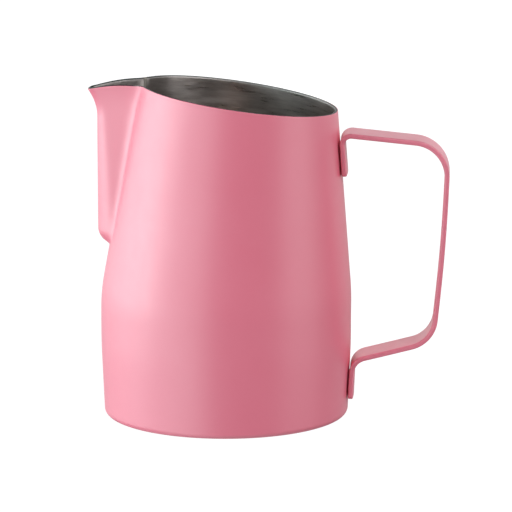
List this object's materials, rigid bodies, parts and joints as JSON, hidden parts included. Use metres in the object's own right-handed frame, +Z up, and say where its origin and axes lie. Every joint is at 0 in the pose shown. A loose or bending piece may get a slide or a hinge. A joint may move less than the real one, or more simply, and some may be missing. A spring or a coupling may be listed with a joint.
{
  "type": "milk frothing pitcher",
  "caption": "Steel frothing pitcher with a tapering body, slanted rim, upright pouring spout and bent strap handle, powder coated outside.",
  "frame": {"origin": "under the middle of the pitcher's length, on the plane that its foot rests on; the body's foot is centred 14.9 mm towards the spout from it", "axes": "+X from the spout to the handle, +Y across the pitcher, +Z up"},
  "size_m": [0.1262, 0.088, 0.1171],
  "materials": {
    "bare_steel": "brushed around the cup",
    "weld_steel": "ground weld",
    "pink_coat": "satin powder coat",
    "coated_strap": "satin powder coat"
  },
  "bodies": {
    "root": {"body_shell": "bare_steel", "spout": "bare_steel", "spout_weld_seam": "weld_steel", "powder_coat": "pink_coat", "handle_strap": "coated_strap", "upper_weld_left": "weld_steel", "upper_weld_right": "weld_steel", "lower_weld_left": "weld_steel", "lower_weld_right": "weld_steel"}
  },
  "joints": []
}
